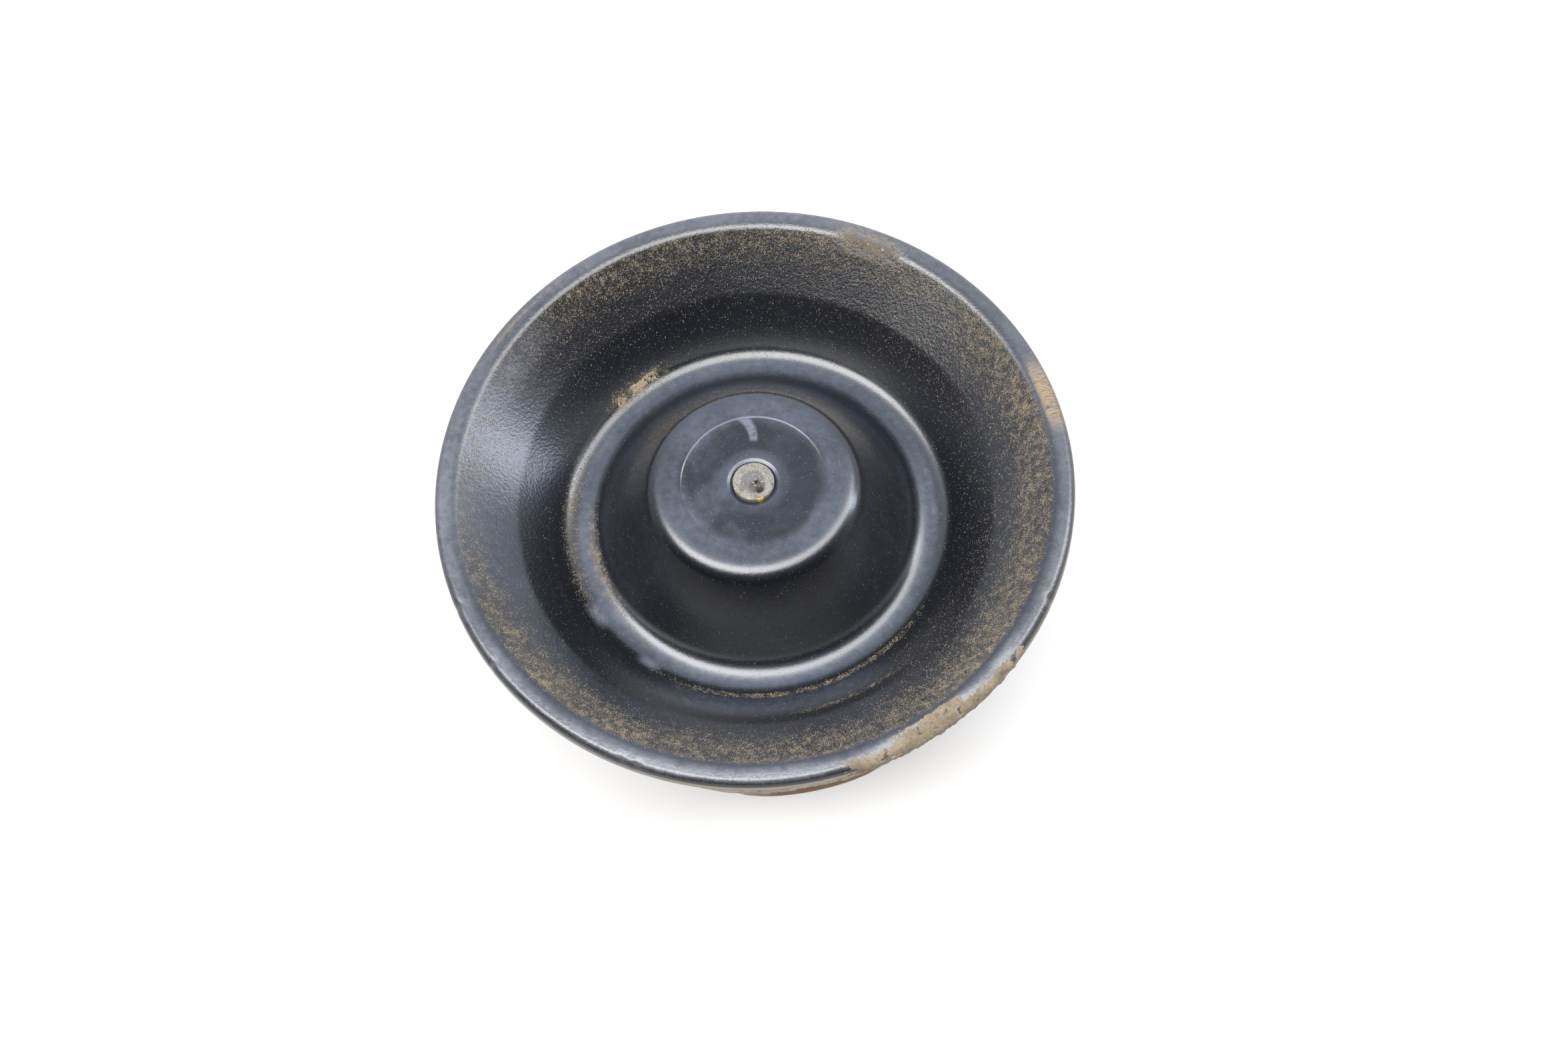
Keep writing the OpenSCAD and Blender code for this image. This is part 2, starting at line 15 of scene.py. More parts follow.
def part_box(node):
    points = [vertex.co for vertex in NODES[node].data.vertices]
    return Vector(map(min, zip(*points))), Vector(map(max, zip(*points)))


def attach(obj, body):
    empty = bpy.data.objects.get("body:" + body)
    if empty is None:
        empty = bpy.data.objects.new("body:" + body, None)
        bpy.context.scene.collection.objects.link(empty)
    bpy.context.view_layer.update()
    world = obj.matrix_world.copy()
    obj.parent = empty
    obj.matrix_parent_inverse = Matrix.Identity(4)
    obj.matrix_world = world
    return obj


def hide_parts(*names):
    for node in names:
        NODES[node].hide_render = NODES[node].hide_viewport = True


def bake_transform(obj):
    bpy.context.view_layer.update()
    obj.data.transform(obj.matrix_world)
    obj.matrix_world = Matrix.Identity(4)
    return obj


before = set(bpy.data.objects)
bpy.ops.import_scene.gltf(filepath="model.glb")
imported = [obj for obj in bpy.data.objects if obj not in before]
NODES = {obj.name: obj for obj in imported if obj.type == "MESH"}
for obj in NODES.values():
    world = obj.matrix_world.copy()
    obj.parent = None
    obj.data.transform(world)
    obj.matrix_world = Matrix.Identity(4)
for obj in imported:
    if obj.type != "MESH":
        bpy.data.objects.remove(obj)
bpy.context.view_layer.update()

MM = 0.001
AXIS_Y = -0.05  # the horn's axis crosses the bracket's middle line here
RIM_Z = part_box("tone_disc")[1][2] - 0.4 * MM  # height of the rim's crest; the hub stands 0.4 mm higher


# ---------------------------------------------------------------- camera


def make_camera():
    """The photograph's view: 63.6 degrees above the disc, 0.414 m from it, rolled 6.1 degrees."""
    elevation, roll = math.radians(63.6), math.radians(6.1)
    distance = 0.414
    aim = Vector((-0.01056, 0.01386, -1.0))  # towards the disc's centre, in the camera's own axes
    back = Vector((0, -math.cos(elevation), math.sin(elevation)))
    data = bpy.data.cameras.new("camera")
    data.sensor_width = 36
    data.lens = 66.37
    camera = bpy.data.objects.new("camera", data)
    bpy.context.scene.collection.objects.link(camera)
    facing = (-back).to_track_quat("-Z", "Y").to_matrix() @ Matrix.Rotation(-roll, 3, "Z")
    aimed = facing @ aim.rotation_difference(Vector((0, 0, -1))).to_matrix()
    camera.matrix_world = Matrix.Translation(Vector((0, AXIS_Y, RIM_Z)) + back * distance) @ aimed.to_4x4()
    data.clip_start, data.clip_end = 0.01, 50
    bpy.context.scene.camera = camera


# ---------------------------------------------------------------- node helpers


class Shader:
    """A material's node tree, with short calls for the nodes that are used here."""

    def __init__(self, name, tree=None):
        if tree is None:
            self.material = bpy.data.materials.new(name)
            self.material.use_nodes = True
            tree = self.material.node_tree
        self.tree = tree
        self.tree.nodes.clear()
        self.place = self.add("ShaderNodeTexCoord").outputs["Object"]

    def add(self, kind, inputs=None, **settings):
        node = self.tree.nodes.new(kind)
        for key, value in settings.items():
            setattr(node, key, value)
        for key, value in (inputs or {}).items():
            self.feed(node.inputs[key], value)
        return node

    def feed(self, socket, value):
        if isinstance(value, bpy.types.NodeSocket):
            self.tree.links.new(value, socket)
        elif socket.type == "RGBA" and len(value) == 3:
            socket.default_value = (*value, 1)
        else:
            socket.default_value = value

    def math(self, operation, a, b=0.0, c=0.0):
        return self.add("ShaderNodeMath", {0: a, 1: b, 2: c}, operation=operation).outputs[0]

    def chain(self, operation, values):
        value = values[0]
        for other in values[1:]:
            value = self.math(operation, value, other)
        return value

    def total(self, *values):
        return self.chain("ADD", values)

    def times(self, *values):
        return self.chain("MULTIPLY", values)

    def most(self, *values):
        return self.chain("MAXIMUM", values)

    def step(self, value, low, high, start=0.0, end=1.0):
        """A smooth step from start to end while value goes from low to high."""
        node = self.add("ShaderNodeMapRange", {0: value, 1: low, 2: high, 3: start, 4: end})
        node.interpolation_type = "SMOOTHSTEP"
        return node.outputs[0]

    def band(self, value, low, high, soft):
        """1 while value is between low and high, with soft edges."""
        falling = self.step(value, high - soft, high + soft, 1.0, 0.0)
        return self.times(self.step(value, low - soft, low + soft), falling)

    def mix(self, factor, a, b):
        node = self.add("ShaderNodeMix", data_type="RGBA")
        for socket, value in ((node.inputs[0], factor), (node.inputs[6], a), (node.inputs[7], b)):
            self.feed(socket, value)
        return node.outputs[2]

    def noise(self, vector, scale, detail=3.0, rough=0.55):
        inputs = {"Vector": vector, "Scale": scale, "Detail": detail, "Roughness": rough}
        return self.add("ShaderNodeTexNoise", inputs).outputs[0]

    def grains(self, scale, share):
        """Small round specks in the cells of a random net. share is the part of the cells that has one."""
        cells = self.add("ShaderNodeTexVoronoi", {"Vector": self.place, "Scale": scale}, feature="F1")
        chance = self.add("ShaderNodeSeparateColor", {0: cells.outputs["Color"]}).outputs[0]
        chosen = self.step(self.math("SUBTRACT", share, chance), -0.02, 0.02)
        return self.times(chosen, self.step(cells.outputs["Distance"], 0.35, 0.62, 1.0, 0.0))

    def scaled(self, vector, scale):
        return self.add("ShaderNodeVectorMath", {0: vector, 1: scale}, operation="MULTIPLY").outputs[0]

    def bump(self, height, distance, strength=1.0, normal=None):
        inputs = {"Height": height, "Distance": distance, "Strength": strength}
        if normal is not None:
            inputs["Normal"] = normal
        return self.add("ShaderNodeBump", inputs).outputs[0]

    def polar(self):
        """The place as radius, angle in degrees from 0 to 360, x and y from the horn's axis, and z."""
        split = self.add("ShaderNodeSeparateXYZ", {0: self.place})
        x, y, z = split.outputs[0], self.math("SUBTRACT", split.outputs[1], AXIS_Y), split.outputs[2]
        radius = self.math("SQRT", self.total(self.times(x, x), self.times(y, y)))
        angle = self.math("ARCTAN2", self.times(y, -1.0), x)
        degrees = self.math("FLOORED_MODULO", self.math("DEGREES", angle), 360.0)
        return radius, degrees, x, y, z

    def apart(self, x, y, right, back, flat=1.0, tall=1.0):
        """The distance in mm from a point right of and behind the axis, in oval circles if told so."""
        across = self.math("SUBTRACT", self.times(x, 1000.0), right)
        away = self.math("SUBTRACT", self.times(y, 1000.0), back)
        return self.math("SQRT", self.total(self.times(across, across, flat), self.times(away, away, tall)))

    def surface(self, **inputs):
        """The shader itself. Names are the Principled BSDF's, with _ for a space."""
        node = self.add("ShaderNodeBsdfPrincipled", {k.replace("_", " "): v for k, v in inputs.items()})
        out = self.add("ShaderNodeOutputMaterial")
        self.tree.links.new(node.outputs[0], out.inputs[0])
        return self.material


# ---------------------------------------------------------------- disc profile


def folded(corners, radii, offset, step=0.35 * MM):
    """A folded line through corners (r, z) with bend radii, moved sideways to the left by offset."""
    points = [np.array(p, float) for p in corners]
    path = []

    def heading(a, b):
        return math.atan2(b[1] - a[1], b[0] - a[0])

    def left(h):
        return np.array([-math.sin(h), math.cos(h)])

    def run_to(target):
        if path:
            start = path[-1]
            count = max(1, int(np.linalg.norm(target - start) / step))
            for k in range(1, count):
                path.append(start + (target - start) * k / count)
        path.append(target)

    run_to(points[0] + offset * left(heading(points[0], points[1])))
    for before, corner, after, radius in zip(points, points[1:], points[2:], radii):
        h = heading(before, corner)
        bend = (heading(corner, after) - h + math.pi) % (2 * math.pi) - math.pi
        side = math.copysign(1, bend)
        start = corner - radius * math.tan(abs(bend) / 2) * np.array([math.cos(h), math.sin(h)])
        centre = start + side * radius * left(h)
        count = max(4, int(abs(bend) / math.radians(4)))
        arc = [centre - (side * radius - offset) * left(h + bend * k / count) for k in range(count + 1)]
        run_to(arc[0])
        path.extend(arc[1:])
    run_to(points[-1] + offset * left(heading(points[-2], points[-1])))
    return np.array(path)


FLANK_TILT, LAND_TILT = 36, 10  # degrees: the flank's slope inwards, and the rim land's slope outwards
DISC_BENDS = [4 * MM, 4.2 * MM, 8 * MM, 2.6 * MM, 1.3 * MM]  # hub's edge, groove, crease, rim, lip
DISC_T = 1.2 * MM


def disc_corners():
    """The tone disc's upper face before its bends are rounded, as (r, z), as in the CAD model."""
    half_sum, half_gap = (math.radians((FLANK_TILT + k * LAND_TILT) / 2) for k in (1, -1))
    rim_fold = 2.6 * (math.cos(half_gap) / math.cos(half_sum) - 1)
    crease = rim_fold - (43.3 - 34.6) * math.tan(math.radians(FLANK_TILT))
    edge = rim_fold - (46 - 43.3) * math.tan(math.radians(LAND_TILT))
    hub_and_groove = [(3.1, 0.4), (14.5, 0.4), (25.2, -14.6)]
    flank_and_rim = [(34.6, crease), (43.3, rim_fold), (46, edge), (46, -2.3)]
    return [(r * MM, RIM_Z + z * MM) for r, z in hub_and_groove + flank_and_rim]


# ---------------------------------------------------------------- mesh helpers


def make_object(name, vertices, faces, material, smooth=True):
    mesh = bpy.data.meshes.new(name)
    mesh.from_pydata([tuple(v) for v in vertices], [], faces)
    shape = bmesh.new()
    shape.from_mesh(mesh)
    bmesh.ops.remove_doubles(shape, verts=shape.verts, dist=0.000001)
    bmesh.ops.recalc_face_normals(shape, faces=shape.faces)
    shape.to_mesh(mesh)
    shape.free()
    mesh.polygons.foreach_set("use_smooth", [smooth] * len(mesh.polygons))
    mesh.materials.append(material)
    piece = bpy.data.objects.new(name, mesh)
    bpy.context.scene.collection.objects.link(piece)
    return piece


def turned(name, outline, material, segments=240, shift=None):
    """A closed outline of points (r, z), turned about the horn's axis. shift(r, angle, z) moves them."""
    count = len(outline)
    radius, height = outline[:, 0], outline[:, 1]
    vertices = []
    for k in range(segments):
        angle = 2 * math.pi * k / segments
        r, z = (radius, height) if shift is None else shift(radius, math.degrees(angle), height)
        vertices.append(np.column_stack([r * math.cos(angle), AXIS_Y - r * math.sin(angle), z]))
    vertices = np.concatenate(vertices)
    faces = []
    for k in range(segments):
        here, there = k * count, (k + 1) % segments * count
        for i in range(count):
            j = (i + 1) % count
            faces.append((here + i, here + j, there + j, there + i))
    return make_object(name, vertices, faces, material)


def polar_point(radius, angle, z):
    a = math.radians(angle)
    return Vector((radius * math.cos(a), AXIS_Y - radius * math.sin(a), z))


# ---------------------------------------------------------------- materials


TAN = (0.12, 0.088, 0.046)
PALE_TAN = (0.21, 0.162, 0.095)
OCHRE = (0.22, 0.145, 0.065)
CREAM = (0.3, 0.26, 0.2)
PAINT = (0.002, 0.0023, 0.0032)
# the film's grey-blue tones: road dust, and painted sheen on the glossy paint
HAZE_AND_SHEEN = (0.35, 0.39, 0.49)
RIM_HAZE_AND_SHEEN = (0.38, 0.39, 0.43)
# pale grey for bare scuffs and for the painted highlight on the coined circle's edge
BARE_AND_HIGHLIGHT = (0.3, 0.33, 0.4)


class DiscShader(Shader):
    """A shader for the disc: r in mm from the axis, angle in degrees, height in mm above the rim."""

    def __init__(self, name):
        super().__init__(name)
        radius, self.angle, x, y, z = self.polar()
        self.r = self.times(radius, 1000.0)
        self.height = self.math("SUBTRACT", self.times(z, 1000.0), RIM_Z / MM)
        self.cos, self.sin = self.math("DIVIDE", x, radius), self.math("DIVIDE", y, radius)
        self.cloud = self.noise(self.place, 90.0, 4.0)
        self.mottle = self.noise(self.place, 900.0, 3.0, 0.65)
        self.crumbs = self.noise(self.place, 1700.0, 4.0, 0.7)
        self.streaks = self.swirl(260.0, 0.9)

    def swirl(self, around, along, detail=2.0, rough=0.6):
        """Noise in polar form: many cells around the disc and few along its radius, or the other way."""
        x, y, z = (self.times(*pair) for pair in ((self.cos, around), (self.sin, around), (self.r, along)))
        place = self.add("ShaderNodeCombineXYZ", {0: x, 1: y, 2: z}).outputs[0]
        return self.noise(place, 1.0, detail, rough)

    def sector(self, start, end, soft):
        """1 between two angles. An end beyond 360 wraps round."""
        lead = 60.0  # keeps the soft edges away from the jump between 360 and 0
        beyond = self.math("FLOORED_MODULO", self.math("SUBTRACT", self.angle, start - lead), 360.0)
        return self.band(beyond, lead, lead + end - start, soft)

    def zone(self, r0, r1, soft, start, end, soft_angle):
        """1 between two radii and two angles."""
        return self.times(self.band(self.r, r0, r1, soft), self.sector(start, end, soft_angle))


def dust_share(s):
    """The share of the paint that is under grains: belts inside the rim, then lines and patches."""
    r = s.r
    inside = s.step(r, 42.2, 43.2, 1.0, 0.0)
    near_belt = s.times(s.step(r, 35.2, 40.5), inside, s.sector(-26.0, 165.0, 16.0))
    round_belt = s.times(s.step(r, 37.0, 42.0), s.step(r, 42.3, 43.0, 1.0, 0.0))
    belts = s.total(s.times(near_belt, 0.2), s.times(round_belt, 0.19))
    share = s.total(
        s.times(belts, s.step(s.swirl(5.0, 0.25, 3.0), 0.3, 0.7, 0.6, 1.3)),
        s.times(s.step(r, 24.0, 28.0), 0.008),
        s.times(s.step(r, 28.0, 38.0), inside, s.sector(-45.0, 60.0, 16.0), 0.07),
        s.times(s.step(r, 30.0, 38.0), inside, s.sector(215.0, 320.0, 16.0), 0.03),
    )
    share = s.most(
        share,
        s.times(s.zone(27.7, 28.5, 0.25, 45.0, 115.0, 18.0), 0.36),
        s.times(s.zone(32.6, 33.2, 0.25, 58.0, 84.0, 8.0), 0.3),
        s.times(s.zone(26.3, 28.6, 0.6, 155.0, 205.0, 12.0), 0.2),
        s.times(s.zone(23.6, 25.2, 0.5, 150.0, 188.0, 10.0), 0.4),
        s.times(s.zone(27.4, 29.4, 0.6, 227.0, 245.0, 5.0), 0.4),
        s.times(s.zone(15.2, 19.0, 1.4, 205.0, 330.0, 25.0), 0.07),
    )
    clumps = s.total(s.times(s.mottle, 0.6), s.times(s.streaks, 0.4))
    return s.times(share, s.step(clumps, 0.34, 0.66, 0.15, 1.85))


def haze_and_sheen_share(s):
    """How far a thin film greys the paint: partly road dust, partly painted sheen where the glossy paint
    catches light.
    """
    r = s.r
    # the rim land's film: road dust and painted sheen, with less of it at the left and right
    cleaner = s.most(s.sector(165.0, 225.0, 14.0), s.sector(-45.0, 35.0, 14.0))
    rim_film_and_sheen = s.math("SUBTRACT", 0.085, s.times(cleaner, 0.03))
    outside = s.total(
        s.times(s.step(r, 34.2, 35.4), s.sector(55.0, 215.0, 14.0), 0.017),
        0.001,
        s.times(s.step(r, 32.5, 40.5), s.sector(-30.0, 55.0, 14.0), 0.012),
        # painted sheen on the left flank
        s.times(s.step(r, 34.2, 44.0), s.sector(168.0, 206.0, 14.0), 0.03),
        s.times(s.zone(39.5, 42.8, 1.5, 198.0, 226.0, 9.0), 0.04),
        s.times(s.step(r, 43.0, 44.0), rim_film_and_sheen),
    )
    rubbed = s.total(r, s.times(s.math("SUBTRACT", s.cloud, 0.5), 4.0))
    patchy = s.step(s.noise(s.place, 210.0, 3.0), 0.35, 0.65)
    hub = s.times(s.step(r, 10.2, 10.5, 1.0, 0.0), s.step(patchy, 0.0, 1.0, 0.002, 0.02))
    haze_and_sheen = s.total(
        s.times(outside, s.step(r, 45.35, 45.85, 1.0, 0.06)),
        # painted sheen round the groove's highlight, all the way round
        s.times(s.band(r, 23.8, 26.8, 0.8), 0.036),
        s.times(s.zone(24.4, 26.3, 0.6, -12.0, 195.0, 14.0), 0.03),
        s.times(s.zone(25.6, 26.6, 0.5, 200.0, 375.0, 14.0), 0.022),
        # painted reflection: a bluish-grey patch on the near flank
        s.times(s.zone(28.6, 32.6, 1.0, 62.0, 122.0, 12.0), 0.034),
        # painted sheen on the left and right of the hub's cone
        s.times(s.zone(15.6, 23.0, 1.0, 140.0, 195.0, 10.0), 0.012),
        s.times(s.zone(15.6, 23.0, 1.0, 345.0, 408.0, 10.0), 0.012),
        s.times(s.step(rubbed, 9.0, 11.4), s.step(r, 12.4, 15.4, 1.0, 0.0), 0.055),
        # inside the coined circle, in patches, lighter towards the left
        s.times(hub, s.step(s.cos, -1.0, 1.0, 1.6, 0.4)),
        s.times(s.zone(17.5, 23.0, 1.5, 195.0, 345.0, 20.0), 0.013),
        # painted light: lifts the shade in the gap round the stud
        s.times(s.step(r, 3.2, 6.0, 1.0, 0.0), 0.035),
    )
    uneven = s.total(s.times(s.cloud, 0.55), s.times(s.mottle, 0.45))
    haze_and_sheen = s.times(haze_and_sheen, s.step(uneven, 0.3, 0.7, 0.5, 1.5))
    return s.math("MINIMUM", haze_and_sheen, 1.0)


def add_caked(s, colour):
    """Dried-on dust in patches at the rim and along the lip. Gives the new colour and what is covered."""
    ragged = s.step(s.total(s.times(s.crumbs, 0.6), s.times(s.cloud, 0.4)), 0.42, 0.56)
    line = s.times(s.zone(44.3, 45.0, 0.25, 216.0, 235.0, 5.0), 0.6)
    patches = s.times(s.most(s.zone(41.6, 45.0, 1.3, 293.0, 306.0, 4.0), line), ragged)
    colour = s.mix(s.times(patches, 0.55), colour, TAN)
    washed = s.times(s.zone(43.5, 45.7, 0.5, 342.0, 354.0, 4.0), s.step(s.streaks, 0.3, 0.55))
    colour = s.mix(s.times(washed, 0.6), colour, OCHRE)
    lip = s.times(s.step(s.r, 45.4, 45.7), s.step(s.height, -1.7, -1.1, 1.0, 0.0))
    lip = s.times(lip, s.sector(-15.0, 112.0, 10.0), s.step(s.crumbs, 0.3, 0.5, 0.6, 1.0))
    colour = s.mix(s.times(lip, 0.8), colour, s.mix(s.sector(45.0, 120.0, 12.0), OCHRE, CREAM))
    return colour, s.most(patches, washed, lip)


def add_scuffs(s, colour):
    """Pale marks: rubbed spots, a curved smudge on the hub, a painted highlight on the far side of the
    coined circle's edge and fine scratches.
    """
    curl = s.total(s.angle, s.times(s.math("SUBTRACT", s.r, 8.4), s.math("SUBTRACT", s.r, 4.4), 0.55))
    scuffs = s.most(
        s.times(s.zone(27.0, 28.0, 0.7, 127.0, 133.0, 2.5), 0.5),
        s.times(s.zone(26.8, 28.4, 0.7, 149.0, 156.0, 2.5), 0.4),
        s.times(s.band(s.r, 6.6, 10.25, 0.3), s.band(curl, 269.0, 278.0, 2.0), 0.5),
    )
    scuffs = s.times(scuffs, s.step(s.noise(s.place, 1400.0, 4.0), 0.15, 0.5))
    # painted highlight: the coined circle's small step, lit along its far side only
    circle = s.times(s.band(s.r, 10.3, 10.5, 0.06), s.sector(190.0, 340.0, 12.0))
    circle = s.times(circle, s.step(s.cloud, 0.3, 0.6, 0.5, 1.0))
    scratches = s.times(s.step(s.swirl(2.6, 5.0, 3.0, 0.7), 0.66, 0.72), s.step(s.cloud, 0.5, 0.6))
    pale = s.most(s.times(scuffs, 0.34), s.times(circle, 0.16), s.times(scratches, 0.03))
    return s.mix(pale, colour, BARE_AND_HIGHLIGHT), scuffs


def disc_paint():
    """Glossy black paint under a film of road dust and painted sheen, with grains, caked patches, scuffs,
    scratches and a painted highlight on the coined circle's edge.
    """
    s = DiscShader("disc_paint")
    share, haze_and_sheen = dust_share(s), haze_and_sheen_share(s)
    grains = s.most(s.grains(7000.0, share), s.grains(11000.0, s.times(share, 0.9)))
    colour = s.mix(haze_and_sheen, PAINT, s.mix(s.step(s.r, 42.5, 43.5), HAZE_AND_SHEEN, RIM_HAZE_AND_SHEEN))
    colour = s.mix(s.times(share, 0.1), colour, TAN)
    colour = s.mix(s.times(s.zone(15.0, 21.0, 1.2, 205.0, 330.0, 25.0), 0.03), colour, TAN)
    colour = s.mix(s.times(grains, 0.75), colour, s.mix(s.step(s.mottle, 0.35, 0.65), TAN, PALE_TAN))
    colour, caked = add_caked(s, colour)
    colour, scuffs = add_scuffs(s, colour)
    rough = s.total(0.18, s.times(haze_and_sheen, 0.7))
    rough = s.most(rough, s.times(grains, 0.85), s.times(caked, 0.9), s.times(scuffs, 0.5))
    rough = s.total(rough, s.times(s.cloud, 0.06))
    wrinkled = s.times(s.noise(s.place, 2300.0, 3.0, 0.6), s.step(s.r, 28.0, 33.0, 0.35, 1.0))
    bumps = s.bump(s.most(grains, caked), 0.00006, 1.0, s.bump(wrinkled, 0.00004))
    return s.surface(Base_Color=colour, Roughness=rough, Normal=bumps, Specular_IOR_Level=0.5)


def weathered(name, colour, metallic, rough, dust=0.2, rust=0.0):
    """A used surface: uneven tone, fine scratches, dust in patches and, on steel, specks of rust."""
    s = Shader(name)
    fine = s.noise(s.place, 1300.0, 5.0, 0.6)
    broad = s.noise(s.place, 110.0, 4.0)
    drawn = s.noise(s.scaled(s.place, (1500.0, 90.0, 220.0)), 1.0, 3.0)
    base = s.mix(broad, tuple(0.72 * c for c in colour), tuple(min(1, 1.22 * c) for c in colour))
    scratched = tuple(min(1, 1.5 * c + 0.03) for c in colour)
    base = s.mix(s.times(s.step(drawn, 0.6, 0.7), 0.25), base, scratched)
    mixed = s.total(s.times(broad, 0.6), s.times(fine, 0.4))
    dusted = s.times(s.step(mixed, 0.42, 0.62), dust)
    rusted = s.step(s.math("SUBTRACT", mixed, 0.62 - 0.2 * rust), 0.0, 0.05) if rust else 0.0
    base = s.mix(dusted, base, TAN)
    base = s.mix(rusted, base, s.mix(fine, (0.05, 0.016, 0.006), (0.17, 0.06, 0.018)))
    covered = s.most(dusted, rusted)
    return s.surface(
        Base_Color=base,
        Metallic=s.times(s.math("SUBTRACT", 1.0, covered), metallic),
        Roughness=s.most(s.step(fine, 0.3, 0.7, rough - 0.07, rough + 0.09), s.times(covered, 0.85)),
        Normal=s.bump(s.total(fine, s.times(drawn, 0.5)), 0.00002),
    )


def wound_copper():
    """Enamelled wire laid turn on turn, 0.35 mm apart, each turn painted lighter along its crest and darker
    in the grooves between turns as painted shade.
    """
    s = Shader("wound_copper")
    height = s.add("ShaderNodeSeparateXYZ", {0: s.place}).outputs[2]
    turn_relief_and_shade = s.math("ABSOLUTE", s.math("SINE", s.times(height, math.pi / 0.00035)))
    fine = s.noise(s.place, 800.0, 4.0)
    return s.surface(
        # painted shade between the turns of wire
        Base_Color=s.mix(s.times(turn_relief_and_shade, fine, 1.6), (0.1, 0.025, 0.01), (0.48, 0.15, 0.05)),
        Metallic=0.8,
        Roughness=s.step(fine, 0.3, 0.7, 0.25, 0.4),
        Normal=s.bump(turn_relief_and_shade, 0.0001),
    )


def dark_spring_steel():
    """Blued spring steel with rust and road dust, more of it towards the clamped edge."""
    s = Shader("dark_spring_steel")
    radius = s.polar()[0]
    fine = s.noise(s.place, 1200.0, 5.0, 0.6)
    broad = s.noise(s.place, 120.0, 4.0)
    mixed = s.total(s.times(fine, 0.4), s.times(broad, 0.6))
    dusted = s.times(s.step(mixed, 0.4, 0.6), s.step(radius, 0.016, 0.034, 0.15, 0.6))
    colour = s.mix(broad, (0.035, 0.037, 0.045), (0.07, 0.072, 0.08))
    rusted = s.step(mixed, 0.6, 0.66)
    colour = s.mix(dusted, colour, TAN)
    colour = s.mix(rusted, colour, (0.09, 0.03, 0.01))
    return s.surface(
        Base_Color=colour,
        Metallic=s.times(s.math("SUBTRACT", 1.0, s.most(dusted, rusted)), 0.8),
        Roughness=s.most(s.step(fine, 0.3, 0.7, 0.35, 0.5), s.times(dusted, 0.9)),
        Normal=s.bump(fine, 0.00002),
    )


def ring_metal():
    """The crimped ring: cream zinc corrosion over steel with specks of rust, and a dark brown band low on
    the near side.
    """
    s = Shader("ring_metal")
    _, angle, _, _, z = s.polar()
    fine = s.noise(s.place, 1500.0, 5.0, 0.65)
    broad = s.noise(s.place, 160.0, 4.0)
    mixed = s.total(s.times(fine, 0.5), s.times(broad, 0.5))
    colour = s.mix(s.step(mixed, 0.35, 0.65), (0.34, 0.32, 0.27), (0.22, 0.2, 0.15))
    # a dark brown band low on the near side
    low = s.step(s.total(s.times(z, 1000.0), s.times(broad, 2.6)), 40.2, 41.2, 1.0, 0.0)
    near = s.band(s.total(angle, s.times(broad, 24.0)), 80.0, 112.0, 9.0)
    rust_and_dark_band = s.times(near, s.step(s.total(s.times(low, 0.6), mixed), 0.75, 0.95))
    rust_and_dark_band = s.most(rust_and_dark_band, s.step(mixed, 0.6, 0.66))
    colour = s.mix(rust_and_dark_band, colour, s.mix(fine, (0.055, 0.026, 0.011), (0.17, 0.088, 0.035)))
    return s.surface(
        Base_Color=colour,
        Metallic=s.step(rust_and_dark_band, 0.0, 0.5, 0.35, 0.0),
        Roughness=s.step(fine, 0.3, 0.7, 0.5, 0.8),
        Normal=s.bump(s.total(fine, rust_and_dark_band), 0.00006),
    )


SLOT_LOOKS = {  # colour, metallic, roughness, dust, rust
    "black_ecoat": ((0.012, 0.013, 0.016), 0.0, 0.38, 0.3, 0.25),
    "black_paint": ((0.014, 0.015, 0.018), 0.0, 0.42, 0.4, 0.3),
    "zinc_steel": ((0.45, 0.44, 0.41), 1.0, 0.42, 0.25, 0.3),
    "dull_zinc": ((0.36, 0.35, 0.33), 1.0, 0.5, 0.35, 0.35),
    "bare_steel": ((0.35, 0.34, 0.33), 1.0, 0.4, 0.1, 0.2),
    "spring_steel": ((0.3, 0.3, 0.31), 1.0, 0.3, 0.05, 0.05),
    "soft_iron": ((0.25, 0.24, 0.23), 1.0, 0.5, 0.05, 0.1),
    "gasket_paper": ((0.17, 0.15, 0.1), 0.0, 0.9, 0.1, 0.0),
    "natural_nylon": ((0.6, 0.56, 0.45), 0.0, 0.5, 0.05, 0.0),
    "phenolic_board": ((0.2, 0.095, 0.04), 0.0, 0.5, 0.05, 0.0),
    "contact_brass": ((0.6, 0.45, 0.2), 1.0, 0.35, 0.05, 0.0),
    "tungsten": ((0.4, 0.4, 0.41), 1.0, 0.35, 0.02, 0.0),
    "red_insulation": ((0.4, 0.02, 0.02), 0.0, 0.4, 0.05, 0.0),
    "resistor_ceramic": ((0.5, 0.47, 0.38), 0.0, 0.6, 0.05, 0.0),
    "black_rubber": ((0.018, 0.018, 0.018), 0.0, 0.7, 0.3, 0.0),
    "black_nylon": ((0.018, 0.018, 0.02), 0.0, 0.45, 0.3, 0.0),
    "tinned_brass": ((0.55, 0.53, 0.47), 1.0, 0.32, 0.05, 0.0),
}


# ---------------------------------------------------------------- pieces


def dent(radius, angle):
    """How far the disc's outer edge is knocked down, in metres, near its lower right."""
    strength = math.exp(-(((angle - 63) / 8) ** 2)) + 0.25 * math.exp(-(((angle - 45) / 3) ** 2))
    return 0.9 * MM * strength * np.clip((radius / MM - 43.4) / 2.4, 0, 1)


def disc_shift(radius, angle, z):
    """The pressed disc is not quite true: its edge is dented and its rim is nicked."""
    down = dent(radius, angle)
    nick = sum(math.exp(-(((angle - place) / 0.7) ** 2)) for place in (30, 116, 119, 149, 162))
    edge = np.clip((radius / MM - 44.6) / 1.2, 0, 1)
    down = down + 0.22 * MM * nick * edge
    return radius - 0.35 * down, z - down


